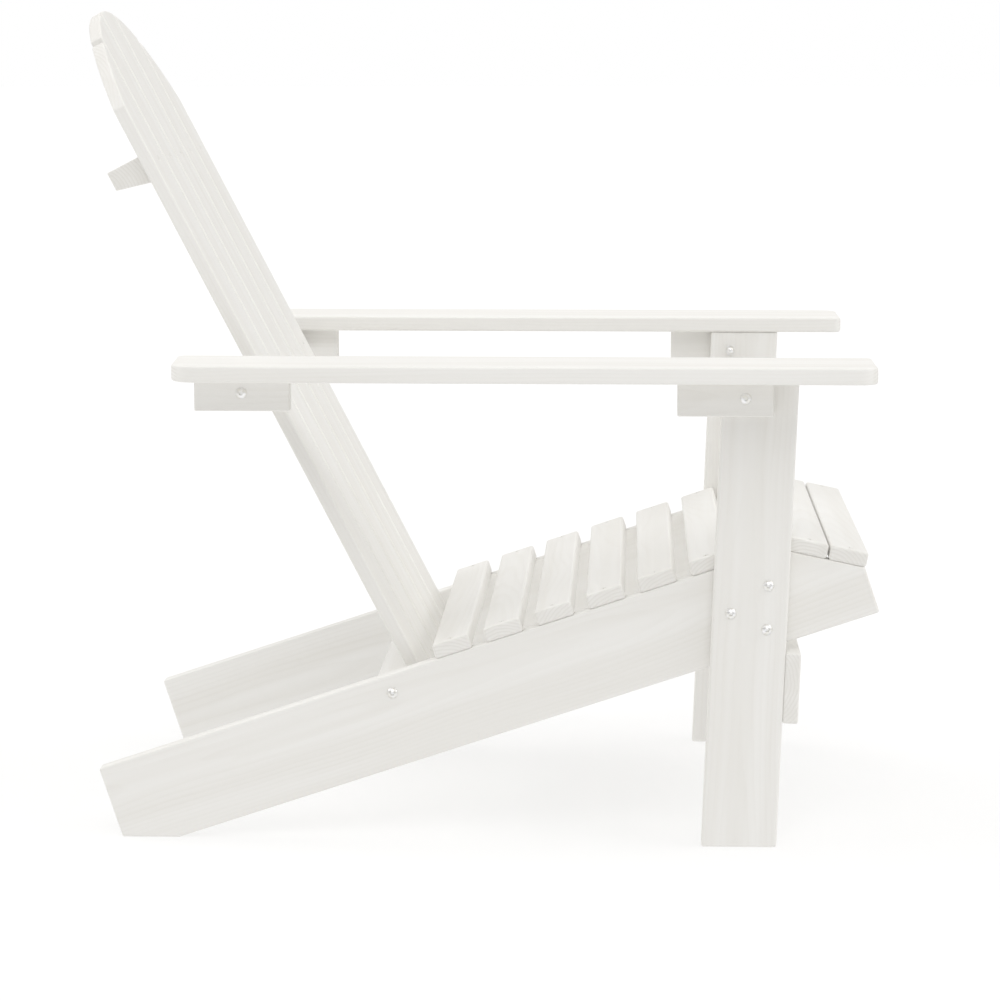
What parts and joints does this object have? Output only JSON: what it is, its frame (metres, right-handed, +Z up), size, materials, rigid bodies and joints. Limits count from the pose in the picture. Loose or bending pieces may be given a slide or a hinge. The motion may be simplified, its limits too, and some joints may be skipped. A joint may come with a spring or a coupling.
{
  "type": "adirondack chair",
  "caption": "White painted softwood adirondack chair with a reclined slatted back under an arched top, a sloped slatted seat, flat arms and sloping side rails.",
  "frame": {"origin": "on the floor, at the centre of the chair's bounding box", "axes": "+X the way the sitter faces, +Y the sitter's left, +Z up"},
  "size_m": [0.8498, 0.726, 0.8671],
  "materials": {
    "painted_wood": "satin white paint over softwood, grain showing through",
    "zinc_steel": "zinc-plated, semi-bright",
    "painted_steel": "satin white, painted over with the slats"
  },
  "bodies": {
    "root": {"side_rail_right": "painted_wood", "front_leg_right": "painted_wood", "armrest_right": "painted_wood", "front_arm_block_right": "painted_wood", "rear_arm_block_right": "painted_wood", "side_rail_left": "painted_wood", "front_leg_left": "painted_wood", "armrest_left": "painted_wood", "front_arm_block_left": "painted_wood", "rear_arm_block_left": "painted_wood", "seat_slat_1": "painted_wood", "seat_slat_2": "painted_wood", "seat_slat_3": "painted_wood", "seat_slat_4": "painted_wood", "seat_slat_5": "painted_wood", "seat_slat_6": "painted_wood", "seat_slat_7": "painted_wood", "seat_slat_8": "painted_wood", "seat_slat_9": "painted_wood", "back_slat_1": "painted_wood", "back_slat_2": "painted_wood", "back_slat_3": "painted_wood", "back_slat_4": "painted_wood", "back_slat_5": "painted_wood", "upper_back_rail": "painted_wood", "middle_back_rail": "painted_wood", "lower_back_rail": "painted_wood", "front_stretcher": "painted_wood", "leg_bolts": "zinc_steel", "leg_washers": "zinc_steel", "leg_nuts": "zinc_steel", "front_block_bolts": "zinc_steel", "dome_nuts": "zinc_steel", "rear_block_bolts": "zinc_steel", "barrel_nuts": "zinc_steel", "lower_rail_bolts": "zinc_steel", "seat_screws": "painted_steel", "arm_screws": "zinc_steel", "stretcher_screws": "zinc_steel", "back_screws": "painted_steel"}
  },
  "joints": []
}
